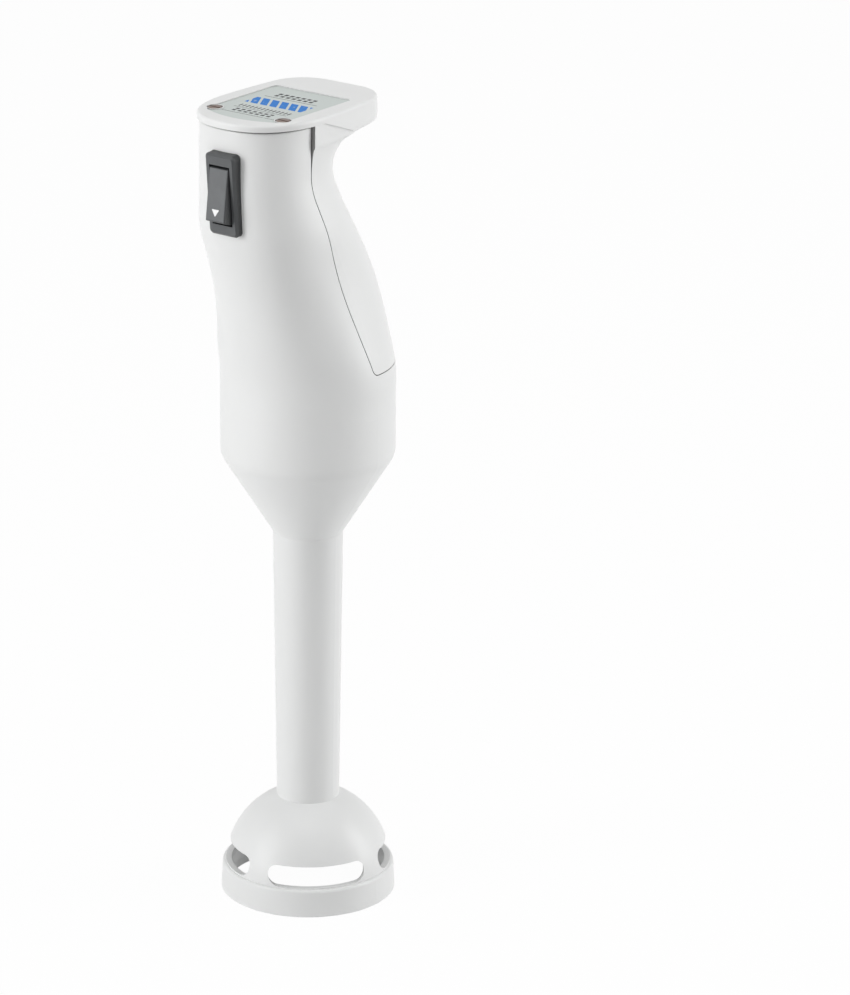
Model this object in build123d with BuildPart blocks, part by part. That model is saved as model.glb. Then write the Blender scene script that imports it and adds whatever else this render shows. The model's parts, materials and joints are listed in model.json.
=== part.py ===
from build123d import *
import os
from math import cos, radians, sin, sqrt

# Hand blender that stands on its blade guard, in millimetres.
# The origin is the centre of the guard's rim on the floor and +Z runs up the drive shaft.
# The switch faces -Y and the hanging hook points to +Y.

# Clearances
running_gap = 0.05
seat_gap = 0.05
free_gap = 0.3
seam_gap = 0.35

# Outer mouldings
wall = 2.5
housing_rim_radius = 0.9
barrel_radius = 32.5
barrel_edge_radius = 8.0
barrel_step = 0.02
cone_foot = 143.4
cone_top = 174.3
barrel_top = 206.0
handle_height = 104.5
tube_foot_radius = 11.8
tube_top_radius = 13.1
tube_wall = 2.2

# Handle form between the barrel and the neck.
# Share of the way up, front and rear reach from the shaft axis, half width, corner fullness
handle_stations = [
    (0.143, 34.8, 30.5, 30.8, 0.575),
    (0.286, 37.0, 28.2, 28.4, 0.595),
    (0.429, 39.5, 24.6, 26.3, 0.615),
    (0.571, 42.9, 18.6, 25.3, 0.635),
    (0.738, 46.7, 9.0, 25.2, 0.65),
    (0.857, 47.6, 3.2, 23.6, 0.66),
]
barrel_sections = 2
handle_steps = 13
neck_steps = 4
round_fullness = 0.5523
neck_front = 48.2
neck_rear = -0.9
neck_half_width = 22.0
neck_fullness = 0.67

# Top plate and hanging hook
plate_thickness = 2.6
plate_front = 49.4
plate_fullness = 0.64
plate_half_width = 24.2
plate_widest = 20.0
plate_rear_half_width = 20.5
plate_rear_corner = 15.0
plate_edge_radius = 1.1
hook_reach = 21.8
hook_tip_thickness = 8.4
hook_root_thickness = 10.0
hook_flare_radius = 12.5
hook_flare_turn = 75.0
hook_flare_steps = 4
hook_fullness = 0.92
hook_edge_radius = 1.5
flare_widening = 1.6

# Joint between the housing and the rear cover, seen from the side
seam_front = 26.0
seam_knee_drop = 26.7
seam_knee_radius = 30.0
seam_foot_front = 1.4
seam_foot_rise = 4.0
seam_foot_radius = 3.0
tongue_thickness = 2.0
tongue_height = 11.0
tongue_half_angle = 25.0

# Label recess in the top plate
label_half_width = 17.5
label_front = 42.5
label_front_sagitta = 5.0
label_front_corner = 5.0
label_rear = 3.3
label_depth = 0.9
label_thickness = 0.5
label_corner = 2.0

# Screws that hold the cover
cover_screw_x = 15.6
cover_screw_y = -34.3
cover_screw_radius = 1.5
cover_screw_length = 11.0
screw_head_radius = 2.9
screw_head_height = 1.5
screw_crown = 0.9
screw_recess = 0.1
screw_slot_width = 0.8
screw_slot_depth = 0.8
screw_ring_width = 0.35
screw_boss_radius = 3.6
screw_boss_length = 16.0

# Cord inlet in the end of the hook and the clamp behind it
cord_drop = 4.5
cord_bore_radius = 2.6
grommet_wall = 0.8
grommet_length = 8.0
grommet_flange_radius = 3.7
grommet_flange_thickness = 1.0
clamp_length = 18.0
clamp_width = 6.0
clamp_thickness = 2.5
clamp_post_radius = 2.6
clamp_post_spacing = 13.0
clamp_y = -11.0
clamp_cord_room = 5.4
clamp_screw_radius = 1.1
clamp_screw_length = 5.0
clamp_head_radius = 2.0
clamp_head_height = 1.4

# Rocker switch, on a seat that leans back towards its foot
switch_drop = 26.6
switch_lean = 4.6
switch_seat_depth = 1.8
bezel_width = 13.4
bezel_length = 30.6
bezel_thickness = 4.2
bezel_corner = 1.8
bezel_chamfer = 0.9
rocker_width = 8.6
rocker_reach = 10.5
rocker_end_gap = 0.7
rocker_face_height = 4.4
rocker_underside = 3.4
rocker_tilt = 12.0
rocker_pivot_depth = 2.0
rocker_edge_radius = 0.5
trunnion_radius = 1.2
trunnion_length = 1.0
switch_body_width = 11.8
switch_body_length = 27.6
switch_body_depth = 17.0
switch_wall = 1.2
plunger_radius = 1.3
plunger_length = 7.0
plunger_socket_depth = 5.0
contact_length = 16.0
contact_width = 4.0
contact_thickness = 0.8
contact_tilt = 8.0
contact_pivot_radius = 0.8
terminal_width = 4.8
terminal_thickness = 0.8
terminal_length = 7.0
terminal_pitch = 8.0

# Drive shaft, tube fittings and guard
shaft_radius = 2.5
drive_shaft_foot = 11.0
collar_height = 14.6
spigot_radius = 11.0
tube_nut_radius = 15.0
tube_nut_height = 5.0
bush_pocket_radius = 9.0
bush_pocket_depth = 13.0
bush_shoulder = 3.0
bush_shoulder_radius = 7.5
upper_bush_length = 12.0
guard_radius = 33.0
guard_band_height = 10.5
guard_band_top_radius = 32.5
guard_band_edge = 1.1
guard_wall = 2.2
mouth_wall = 2.6
mouth_land = 3.0
dome_radius = 31.4
dome_centre = 8.2
window_low = 11.0
window_high = 18.9
window_width = 36.4
window_corner = 3.6
hub_radius = 8.5
hub_foot = 19.5
guard_spigot_length = 12.0
guard_spigot_radius = 9.5
lower_bush_radius = 5.5
lower_bush_length = 20.0
seal_radius = 6.0
seal_length = 3.7
seal_step = 2.0
seal_step_radius = 3.6

# Blade and its push-on hub
blade_span = 40.0
blade_root = 9.2
blade_thickness = 1.4
blade_sweep = 2.4
blade_turn = 38.0
blade_hub_radius = 4.5
blade_hub_foot = 8.6
blade_hub_top = 18.9
blade_hub_floor = 1.8
blade_seat_height = 3.4
blade_flange_radius = 6.0
blade_flange_thickness = 1.5
drive_pin_radius = 0.8
drive_pin_length = 7.2
drive_pin_height = 16.4

# Motor
mount_ring_width = 4.6
mount_ring_height = 2.0
motor_seat_rise = 3.7
seat_ledge_height = 3.5
seat_ledge_width = 5.0
bracket_thickness = 3.0
bracket_skirt_radius = 25.0
bracket_skirt_wall = 3.0
bearing_radius = 8.0
bearing_height = 5.0
bearing_cup_wall = 1.6
fan_tip_gap = 0.9
fan_height = 5.0
fan_disc = 1.2
fan_blade_thickness = 1.0
fan_blade_count = 9
stator_radius = 23.0
stator_bore = 12.0
stator_length = 22.0
pole_slot_width = 9.0
air_gap = 0.5
coil_rise = 4.5
coil_half_angle = 52.0
armature_winding_radius = 10.0
armature_winding_rise = 3.0
armature_slot_count = 12
armature_slot_width = 1.6
armature_slot_depth = 3.0
commutator_radius = 7.0
commutator_length = 8.0
commutator_rise = 5.0
commutator_groove = 0.5
bridge_width = 18.0
bridge_rise = 15.0
bridge_leg = 5.6
motor_screw_spacing = 40.0
motor_screw_radius = 1.5
motor_screw_post_wall = 1.6
motor_screw_head_radius = 2.6
motor_screw_head_height = 1.8
motor_screw_grip = 8.0
brush_size = 4.4
brush_length = 7.5
brush_holder_length = 10.0
brush_holder_wall = 1.3
brush_spring_radius = 1.9
coupling_radius = 6.0
coupling_end_gap = 1.0
coupling_gap = 0.5
capacitor_width = 8.0
capacitor_height = 12.0
wire_radius = 0.9
wire_bend = 2.5

# Heights and radii that follow from the sizes above
plate_top = barrel_top + handle_height
plate_under = plate_top - plate_thickness
barrel_inner = barrel_radius - wall
cone_run = (barrel_radius - tube_top_radius) / (cone_top - cone_foot)
cone_wall = wall * sqrt(1 + cone_run**2)
collar_top = cone_foot + collar_height
tube_foot = dome_centre + sqrt(dome_radius**2 - tube_foot_radius**2)
spigot_top = collar_top + tube_nut_height
seam_foot = barrel_top + seam_foot_rise
hook_root_under = plate_top - hook_root_thickness
hook_tip_under = plate_top - hook_tip_thickness
flare_foot = hook_root_under - hook_flare_radius
loft_foot = barrel_top - barrel_sections * (flare_foot - barrel_top) / handle_steps
cord_axis = plate_top - cord_drop
grommet_radius = cord_bore_radius + grommet_wall
reach_x = 2 * barrel_radius

# Motor heights, stacked from its seat upwards
motor_seat = cone_top + motor_seat_rise
ring_top = motor_seat + mount_ring_height
bracket_top = ring_top + bracket_thickness
lower_bearing_foot = ring_top + bearing_cup_wall
lower_bearing_top = lower_bearing_foot + bearing_height
fan_foot = lower_bearing_top + free_gap
fan_top = fan_foot + fan_height
coil_foot = fan_top + free_gap
stator_foot = coil_foot + coil_rise
stator_top = stator_foot + stator_length
commutator_foot = stator_top + commutator_rise
commutator_top = commutator_foot + commutator_length
bridge_foot = stator_top + bridge_rise
bridge_top = bridge_foot + bearing_height
drive_shaft_top = (spigot_top + ring_top) / 2


def handle_shape(height):
    """Front, rear, half width and fullness of the handle at a height, on curves through its stations."""
    levels = [(0.0, barrel_radius, barrel_radius, barrel_radius, round_fullness)]
    levels += handle_stations
    levels += [(1.0, neck_front, neck_rear, neck_half_width, neck_fullness)]
    share = min(max((height - barrel_top) / (flare_foot - barrel_top), 0.0), 1.0)
    last = len(levels) - 2
    index = max(i for i in range(last + 1) if levels[i][0] <= share)
    low, high = levels[index], levels[index + 1]
    before = levels[max(index - 1, 0)]
    after = levels[min(index + 2, last + 1)]
    span = high[0] - low[0]
    t = (share - low[0]) / span
    shape = []
    for k in range(1, len(low)):
        start_slope = (high[k] - before[k]) / (high[0] - before[0]) if index > 0 else 0.0
        end_slope = (after[k] - low[k]) / (after[0] - low[0]) if index < last else 0.0
        rise = high[k] - low[k]
        bend = t * (1 - t) * ((1 - t) * (start_slope * span - rise) - t * (end_slope * span - rise))
        shape.append(low[k] + t * rise + bend)
    return shape


def curved_section(height, half_width, middle, *ends):
    """Closed section of four quarter curves between its sides and its two ends, as reach and fullness."""
    with BuildSketch(Plane.XY.offset(height)) as section:
        with BuildLine():
            for end, fullness in ends:
                for side in (1, -1):
                    Bezier(
                        (side * half_width, middle),
                        (side * half_width, middle + fullness * (end - middle)),
                        (side * half_width * fullness, end),
                        (0, end),
                    )
        make_face()
    return section.sketch


def handle_section(height, inset):
    """Handle section at a height, inset from the outside by a wall."""
    front, rear, half_width, fullness = handle_shape(height)
    ends = ((inset - front, fullness), (rear - inset, fullness))
    return curved_section(height, half_width - inset, (rear - front) / 2, *ends)


def flare_curve():
    """Heights and growth of the neck's rear, which curves out under the hook and up again inside it."""
    turns = [radians(hook_flare_turn) * step / hook_flare_steps for step in range(hook_flare_steps + 1)]
    curve = []
    for turn in turns[1:]:
        curve.append((flare_foot + hook_flare_radius * sin(turn), hook_flare_radius * (1 - cos(turn))))
    bend_height, bend_flare = curve[-1]
    return_radius = (plate_under - bend_height) / sin(turns[-1])
    for turn in reversed(turns[:-1]):
        growth = return_radius * (cos(turn) - cos(turns[-1]))
        curve.append((plate_under - return_radius * sin(turn), bend_flare + growth))
    return curve


def flared_sections():
    """Neck sections of the rear cover, which widen to the plate's sides and run out into the hook."""
    curve = flare_curve()
    bend_flare = curve[hook_flare_steps - 1][1]
    middle = (neck_rear - neck_front) / 2
    sections = []
    for height, flare in curve:
        share = min(flare / bend_flare, 1.0)
        half_width = neck_half_width - barrel_step + share * flare_widening
        fullness = neck_fullness + share * (hook_fullness - neck_fullness)
        front = (barrel_step - neck_front, neck_fullness)
        rear = (neck_rear - barrel_step + flare, fullness)
        sections.append(curved_section(height, half_width, middle, front, rear))
    return sections


def handle_sections(inset):
    """Handle sections from the barrel to the foot of the neck, inset from the outside by a wall."""
    step = (flare_foot - barrel_top) / handle_steps
    heights = [barrel_top + step * index for index in range(-barrel_sections, handle_steps + 1)]
    return [handle_section(height, inset + barrel_step) for height in heights]


def neck_sections(inset):
    """Straight sections of the neck, up to the top plate."""
    step = (plate_under - flare_foot) / neck_steps
    heights = [flare_foot + step * index for index in range(1, neck_steps + 1)]
    return [handle_section(height, inset + barrel_step) for height in heights]


def lathe_profile(*corners):
    """Half section of a turned piece, as radius and height pairs."""
    with BuildSketch(Plane.XZ) as profile:
        with BuildLine():
            Polyline(*corners, close=True)
        make_face()
    return profile.sketch


def ring_profile(inner, outer, low, high):
    """Half section of a plain ring or, with no inner radius, of a disc."""
    return lathe_profile((inner, low), (outer, low), (outer, high), (inner, high))


def side_profile(*corners):
    """Closed outline seen from the side, as Y and Z pairs."""
    with BuildSketch(Plane.YZ) as profile:
        with BuildLine():
            Polyline(*corners, close=True)
        make_face()
    return profile.sketch


def seam_region(grow):
    """Side view of what belongs to the rear cover, grown by the joint's gap for the housing's cut."""
    above = plate_top + reach_x
    with BuildSketch(Plane.YZ) as region:
        with BuildLine():
            Polyline(
                (-seam_front, above),
                (-seam_front, plate_top - seam_knee_drop),
                (-seam_foot_front, seam_foot),
                (reach_x, seam_foot),
                (reach_x, above),
                close=True,
            )
        make_face()
        knee = region.vertices().sort_by_distance((-seam_front, plate_top - seam_knee_drop))[0]
        fillet(knee, seam_knee_radius)
        foot = region.vertices().sort_by_distance((-seam_foot_front, seam_foot))[0]
        fillet(foot, seam_foot_radius)
        if grow:
            offset(amount=grow, kind=Kind.INTERSECTION)
    return region.sketch


def plate_plan(height):
    """Outline of the top plate and hook seen from above, widest near its middle."""
    front_reach = plate_widest - plate_front
    with BuildSketch(Plane.XY.offset(height)) as plan:
        with BuildLine():
            for side in (-1, 1):
                Bezier(
                    (side * plate_half_width, -plate_widest),
                    (side * plate_half_width, -plate_widest + plate_fullness * front_reach),
                    (side * plate_half_width * plate_fullness, -plate_front),
                    (0, -plate_front),
                )
                TangentArc(
                    (side * plate_half_width, -plate_widest),
                    (side * plate_rear_half_width, hook_reach),
                    tangent=(0, 1),
                )
            Line((-plate_rear_half_width, hook_reach), (plate_rear_half_width, hook_reach))
        make_face()
        fillet(plan.vertices().group_by(Axis.Y)[-1], plate_rear_corner)
    return plan.sketch


def label_plan(height, shrink):
    """Outline of the label, with a bowed front edge."""
    front = label_front - shrink
    half_width = label_half_width - shrink
    rear = label_rear - shrink
    corner = -front + label_front_sagitta
    with BuildSketch(Plane.XY.offset(height)) as plan:
        with BuildLine():
            ThreePointArc((-half_width, corner), (0, -front), (half_width, corner))
            Polyline((half_width, corner), (half_width, rear), (-half_width, rear), (-half_width, corner))
        make_face()
        fillet(plan.vertices().group_by(Axis.Y)[0], label_front_corner)
        fillet(plan.vertices().group_by(Axis.Y)[-1], label_corner)
    return plan.sketch


os.makedirs("parts", exist_ok=True)

# The handle's outside, in front and behind, and the hollow that the housing and the rear cover share
with BuildPart() as handle_form:
    loft([*handle_sections(0), *neck_sections(0)])

with BuildPart() as cover_form:
    loft([*handle_sections(0), *flared_sections()])

with BuildPart() as handle_hollow:
    loft([*handle_sections(wall), *neck_sections(wall)])

# Motor housing: cone, barrel and the front of the handle, with the motor's ledge and screw bosses
switch_height = plate_top - switch_drop
switch_seat = switch_seat_depth - handle_shape(switch_height)[0]
switch_plane = Plane(
    origin=(0, switch_seat, switch_height),
    x_dir=(1, 0, 0),
    z_dir=(0, -cos(radians(switch_lean)), -sin(radians(switch_lean))),
)
boss_foot = plate_under - screw_boss_length
cover_screw_spots = [(-cover_screw_x, cover_screw_y), (cover_screw_x, cover_screw_y)]
head_seat = plate_top - screw_recess - screw_head_height

with BuildPart() as motor_housing:
    with BuildSketch(Plane.XZ) as barrel_outline:
        with BuildLine():
            Polyline(
                (0, cone_foot),
                (tube_top_radius, cone_foot),
                (barrel_radius, cone_top),
                (barrel_radius, loft_foot),
                (0, loft_foot),
                close=True,
            )
        make_face()
        cone_edge = barrel_outline.vertices().sort_by_distance((barrel_radius, cone_top))[0]
        fillet(cone_edge, barrel_edge_radius)
    revolve(axis=Axis.Z)
    add(handle_form.part)
    hollow_foot_radius = tube_top_radius + collar_height * cone_run - cone_wall
    hollow_cone_top = collar_top + (barrel_inner - hollow_foot_radius) / cone_run
    revolve(
        lathe_profile(
            (0, collar_top),
            (hollow_foot_radius, collar_top),
            (barrel_inner, hollow_cone_top),
            (barrel_inner, loft_foot),
            (0, loft_foot),
        ),
        axis=Axis.Z,
        mode=Mode.SUBTRACT,
    )
    add(handle_hollow.part, mode=Mode.SUBTRACT)
    revolve(
        ring_profile(
            barrel_inner - seat_ledge_width,
            barrel_radius - wall / 2,
            motor_seat - seat_ledge_height,
            motor_seat,
        ),
        axis=Axis.Z,
    )
    revolve(
        ring_profile(0, spigot_radius + seat_gap, cone_foot, collar_top),
        axis=Axis.Z,
        mode=Mode.SUBTRACT,
    )
    extrude(seam_region(seam_gap), amount=reach_x, both=True, mode=Mode.SUBTRACT)
    with BuildSketch(Plane.XY.offset(plate_under)):
        Rectangle(2 * reach_x, 2 * reach_x)
    extrude(amount=-seam_gap, mode=Mode.SUBTRACT)
    top_edges = motor_housing.faces().filter_by(Axis.Z).sort_by(Axis.Z)[-1].edges()
    fillet(top_edges.sort_by_distance((0, -neck_front, plate_under))[:2], housing_rim_radius)
    for x, y in cover_screw_spots:
        with BuildSketch(Plane.XY.offset(boss_foot)):
            with Locations((x, y)):
                Circle(screw_boss_radius)
            with Locations((x + (screw_boss_radius if x > 0 else -screw_boss_radius) / 2, y)):
                Rectangle(screw_boss_radius, screw_boss_radius)
        extrude(amount=screw_boss_length)
        with Locations(Location((x, y, plate_under))):
            Hole(cover_screw_radius + seat_gap, cover_screw_length + plate_under - head_seat)
    with BuildSketch(switch_plane):
        RectangleRounded(bezel_width + 2 * seat_gap, bezel_length + 2 * seat_gap, bezel_corner)
    extrude(amount=2 * bezel_thickness, mode=Mode.SUBTRACT)
    with BuildSketch(switch_plane):
        Rectangle(switch_body_width + 2 * seat_gap, switch_body_length + 2 * seat_gap)
    extrude(amount=-4 * wall, mode=Mode.SUBTRACT)
motor_housing.part.label = "motor_housing"
export_step(motor_housing.part, "parts/motor_housing.step")

# Rear cover: back of the handle, top plate and hanging hook in one moulding
hook_start = neck_rear - 2 * hook_root_thickness
cord_plane = Plane(origin=(0, hook_reach, cord_axis), x_dir=(1, 0, 0), z_dir=(0, 1, 0))
cord_run = hook_reach - neck_rear + 2 * wall
clamp_spots = [(-clamp_post_spacing / 2, clamp_y), (clamp_post_spacing / 2, clamp_y)]
clamp_top = plate_under - clamp_cord_room

tongue_outer = barrel_inner - 2 * free_gap

with BuildPart() as hook:
    extrude(plate_plan(plate_top), amount=-2 * hook_root_thickness)
    extrude(
        side_profile(
            (hook_start, plate_top),
            (hook_reach, plate_top),
            (hook_reach, hook_tip_under),
            (neck_rear, hook_root_under),
            (hook_start, plate_under),
        ),
        amount=reach_x,
        both=True,
        mode=Mode.INTERSECT,
    )
    underside = hook.faces().sort_by_distance((0, hook_reach / 2, hook_tip_under))[0]
    fillet(underside.edges().sort_by(Axis.Y)[1:], hook_edge_radius)

with BuildPart() as tongue:
    revolve(
        lathe_profile(
            (tongue_outer - tongue_thickness, seam_foot - tongue_height / 2),
            (tongue_outer, seam_foot - tongue_height / 2),
            (tongue_outer, seam_foot),
            (barrel_radius - wall / 2, seam_foot),
            (tongue_outer - tongue_thickness, seam_foot + tongue_height / 2),
        ),
        axis=Axis.Z,
        revolution_arc=2 * tongue_half_angle,
    )

with BuildPart() as rear_cover:
    add(cover_form.part)
    add(hook.part)
    add(handle_hollow.part, mode=Mode.SUBTRACT)
    extrude(seam_region(0), amount=reach_x, both=True, mode=Mode.INTERSECT)
    extrude(plate_plan(plate_under), amount=plate_thickness)
    top_rim = rear_cover.faces().filter_by(GeomType.PLANE).sort_by(Axis.Z)[-1].outer_wire().edges()
    fillet(top_rim, plate_edge_radius)
    extrude(label_plan(plate_top, 0), amount=-label_depth, mode=Mode.SUBTRACT)
    ring_radius = screw_head_radius + seat_gap + screw_ring_width
    with BuildSketch(Plane.XY.offset(plate_under)):
        with Locations(*cover_screw_spots):
            Circle(ring_radius)
    extrude(amount=plate_thickness)
    for x, y in cover_screw_spots:
        with Locations(Location((x, y, plate_top))):
            CounterBoreHole(
                cover_screw_radius + 2 * seat_gap,
                screw_head_radius + seat_gap,
                screw_recess + screw_head_height,
                2 * plate_thickness,
            )
    for bore_radius, depth in ((grommet_radius + seat_gap, grommet_length), (cord_bore_radius, cord_run)):
        with BuildSketch(cord_plane):
            Circle(bore_radius)
        extrude(amount=-depth, mode=Mode.SUBTRACT)
    with BuildSketch(Plane.XY.offset(clamp_top)):
        with Locations(*clamp_spots):
            Circle(clamp_post_radius)
            Circle(clamp_screw_radius + seat_gap, mode=Mode.SUBTRACT)
    extrude(amount=clamp_cord_room)
    add(tongue.part.rotate(Axis.Z, 90 - tongue_half_angle))
rear_cover.part.label = "rear_cover"
export_step(rear_cover.part, "parts/rear_cover.step")

# Label sheet in the top plate's recess
with BuildPart() as rating_plate:
    extrude(label_plan(plate_top - label_depth, seat_gap), amount=label_thickness)
    with BuildSketch(Plane.XY.offset(plate_top)):
        with Locations(*cover_screw_spots):
            Circle(ring_radius + seat_gap)
    extrude(amount=-2 * label_depth, mode=Mode.SUBTRACT)
rating_plate.part.label = "rating_plate"
export_step(rating_plate.part, "parts/rating_plate.step")

# Two slotted screws that hold the cover's plate to the housing
with BuildPart() as cover_screws:
    with BuildSketch(Plane.XY.offset(head_seat)):
        with Locations(*cover_screw_spots):
            Circle(screw_head_radius)
    extrude(amount=screw_head_height)
    fillet(cover_screws.edges().group_by(Axis.Z)[-1], screw_crown)
    with BuildSketch(Plane.XY.offset(head_seat)):
        with Locations(*cover_screw_spots):
            Circle(cover_screw_radius)
    extrude(amount=-cover_screw_length)
    with BuildSketch(Plane.XY.offset(head_seat + screw_head_height)):
        with Locations(*cover_screw_spots):
            Rectangle(2 * screw_head_radius, screw_slot_width)
    extrude(amount=-screw_slot_depth, mode=Mode.SUBTRACT)
cover_screws.part.label = "cover_screws"
export_step(cover_screws.part, "parts/cover_screws.step")

# Rubber grommet in the end of the hook
with BuildPart() as cord_grommet:
    with BuildSketch(cord_plane):
        Circle(grommet_flange_radius)
    extrude(amount=grommet_flange_thickness)
    with BuildSketch(cord_plane):
        Circle(grommet_radius)
    extrude(amount=-grommet_length)
    with BuildSketch(cord_plane.offset(grommet_flange_thickness)):
        Circle(cord_bore_radius)
    extrude(amount=-grommet_flange_thickness - grommet_length, mode=Mode.SUBTRACT)
cord_grommet.part.label = "cord_grommet"
export_step(cord_grommet.part, "parts/cord_grommet.step")

# Clamp bar for the cord, under two posts of the cover
with BuildPart() as cord_clamp:
    with BuildSketch(Plane.XY.offset(clamp_top)):
        with Locations((0, clamp_y)):
            SlotOverall(clamp_length, clamp_width)
        with Locations(*clamp_spots):
            Circle(clamp_screw_radius + 2 * seat_gap, mode=Mode.SUBTRACT)
    extrude(amount=-clamp_thickness)
cord_clamp.part.label = "cord_clamp"
export_step(cord_clamp.part, "parts/cord_clamp.step")

with BuildPart() as clamp_screws:
    with BuildSketch(Plane.XY.offset(clamp_top - clamp_thickness)):
        with Locations(*clamp_spots):
            Circle(clamp_head_radius)
    extrude(amount=-clamp_head_height)
    with BuildSketch(Plane.XY.offset(clamp_top - clamp_thickness)):
        with Locations(*clamp_spots):
            Circle(clamp_screw_radius)
    extrude(amount=clamp_screw_length)
clamp_screws.part.label = "clamp_screws"
export_step(clamp_screws.part, "parts/clamp_screws.step")

# Switch body with its bezel, in the leaning plane of the seat
opening_width = rocker_width + 2 * free_gap
opening_length = 2 * (rocker_reach + rocker_end_gap)
pivot_height = bezel_thickness - rocker_pivot_depth
trunnion_bore_depth = trunnion_length + 2 * free_gap
switch_floor = -switch_body_depth
switch_origin = switch_plane.origin
switch_up = switch_plane.y_dir
switch_out = switch_plane.z_dir


def switch_side(across):
    """Side plane of the switch at a distance across it, with X up the switch and Y out of it."""
    return Plane(
        origin=switch_origin + switch_plane.x_dir * across, x_dir=switch_up, z_dir=switch_plane.x_dir
    )


def switch_spot(up, out, across=0.0):
    """Point of the switch in the part's frame."""
    return switch_origin + switch_up * up + switch_out * out + switch_plane.x_dir * across


with BuildPart() as switch_body:
    with BuildSketch(switch_plane):
        RectangleRounded(bezel_width, bezel_length, bezel_corner)
    extrude(amount=bezel_thickness)
    rim = switch_body.faces().sort_by_distance(switch_spot(0, bezel_thickness))[0].edges()
    chamfer(rim, bezel_chamfer)
    with BuildSketch(switch_plane):
        Rectangle(switch_body_width, switch_body_length)
    extrude(amount=-switch_body_depth)
    with BuildSketch(switch_plane.offset(bezel_thickness)):
        Rectangle(opening_width, opening_length)
    extrude(amount=-bezel_thickness - switch_body_depth + switch_wall, mode=Mode.SUBTRACT)
    with BuildSketch(switch_side(-opening_width / 2 - trunnion_bore_depth)):
        with Locations((0, pivot_height)):
            Circle(trunnion_radius + running_gap)
    extrude(amount=opening_width + 2 * trunnion_bore_depth, mode=Mode.SUBTRACT)
    with BuildSketch(switch_plane.offset(switch_floor)):
        with GridLocations(0, terminal_pitch, 1, 3):
            Rectangle(terminal_width + 2 * seat_gap, terminal_thickness + 2 * seat_gap)
    extrude(amount=switch_wall, mode=Mode.SUBTRACT)
switch_body.part.label = "switch_body"
export_step(switch_body.part, "parts/switch_body.step")

# Rocker, tilted so that its lower end stands out
rocker_frame = switch_side(-rocker_width / 2)
rocker_top = pivot_height + rocker_face_height
rocker_foot = pivot_height - rocker_underside
face_half = sqrt(rocker_reach**2 - rocker_face_height**2)
under_half = sqrt(rocker_reach**2 - rocker_underside**2)
socket_radius = plunger_radius + seat_gap
tilt_axis = Axis(switch_spot(0, pivot_height), switch_plane.x_dir)

with BuildPart() as rocker_form:
    with BuildSketch(rocker_frame):
        with BuildLine():
            Line((-face_half, rocker_top), (face_half, rocker_top))
            ThreePointArc(
                (face_half, rocker_top), (rocker_reach, pivot_height), (under_half, rocker_foot)
            )
            Line((under_half, rocker_foot), (-under_half, rocker_foot))
            ThreePointArc(
                (-under_half, rocker_foot), (-rocker_reach, pivot_height), (-face_half, rocker_top)
            )
        make_face()
    extrude(amount=rocker_width)
    rocker_face = rocker_form.faces().sort_by_distance(switch_spot(0, rocker_top))[0]
    fillet(rocker_face.edges(), rocker_edge_radius)
    with BuildSketch(switch_side(-rocker_width / 2 - trunnion_length)):
        with Locations((0, pivot_height)):
            Circle(trunnion_radius)
    extrude(amount=rocker_width + 2 * trunnion_length)
    with BuildSketch(switch_plane.offset(rocker_foot)):
        Circle(socket_radius)
    extrude(amount=plunger_socket_depth, mode=Mode.SUBTRACT)

with BuildPart() as switch_rocker:
    add(rocker_form.part.rotate(tilt_axis, -rocker_tilt))
switch_rocker.part.label = "switch_rocker"
export_step(switch_rocker.part, "parts/switch_rocker.step")

# Plunger and its spring in the rocker's socket
socket_top = rocker_foot + plunger_socket_depth
plunger_top = socket_top - plunger_socket_depth / 2
plunger_tip = plunger_top - plunger_length
with BuildPart() as plunger_form:
    with BuildSketch(switch_plane.offset(plunger_tip)):
        Circle(plunger_radius)
    extrude(amount=plunger_length)
    rims = plunger_form.edges().filter_by(GeomType.CIRCLE)
    fillet(rims.sort_by_distance(switch_spot(0, plunger_tip))[0], plunger_radius - 2 * seat_gap)

with BuildPart() as rocker_plunger:
    add(plunger_form.part.rotate(tilt_axis, -rocker_tilt))
rocker_plunger.part.label = "rocker_plunger"
export_step(rocker_plunger.part, "parts/rocker_plunger.step")

with BuildPart() as spring_form:
    with BuildSketch(switch_plane.offset(plunger_top)):
        Circle(plunger_radius)
        Circle(plunger_radius / 2, mode=Mode.SUBTRACT)
    extrude(amount=socket_top - plunger_top)

with BuildPart() as rocker_spring:
    add(spring_form.part.rotate(tilt_axis, -rocker_tilt))
rocker_spring.part.label = "rocker_spring"
export_step(rocker_spring.part, "parts/rocker_spring.step")

# Contact lever that the plunger tips, with a round pivot in the middle terminal's post
lever_rise = contact_thickness + contact_length / 2 * sin(radians(contact_tilt))
lever_height = plunger_tip - free_gap - lever_rise
lever_axis = Axis(switch_spot(0, lever_height), switch_plane.x_dir)
lever_side = switch_side(-contact_width / 2)
with BuildPart() as lever_form:
    with BuildSketch(switch_plane.offset(lever_height)):
        Rectangle(contact_width, contact_length)
    extrude(amount=contact_thickness)
    with BuildSketch(lever_side):
        with Locations((0, lever_height)):
            Circle(contact_pivot_radius)
    extrude(amount=contact_width)

with BuildPart() as contact_lever:
    add(lever_form.part.rotate(lever_axis, contact_tilt))
contact_lever.part.label = "contact_lever"
export_step(contact_lever.part, "parts/contact_lever.step")

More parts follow.
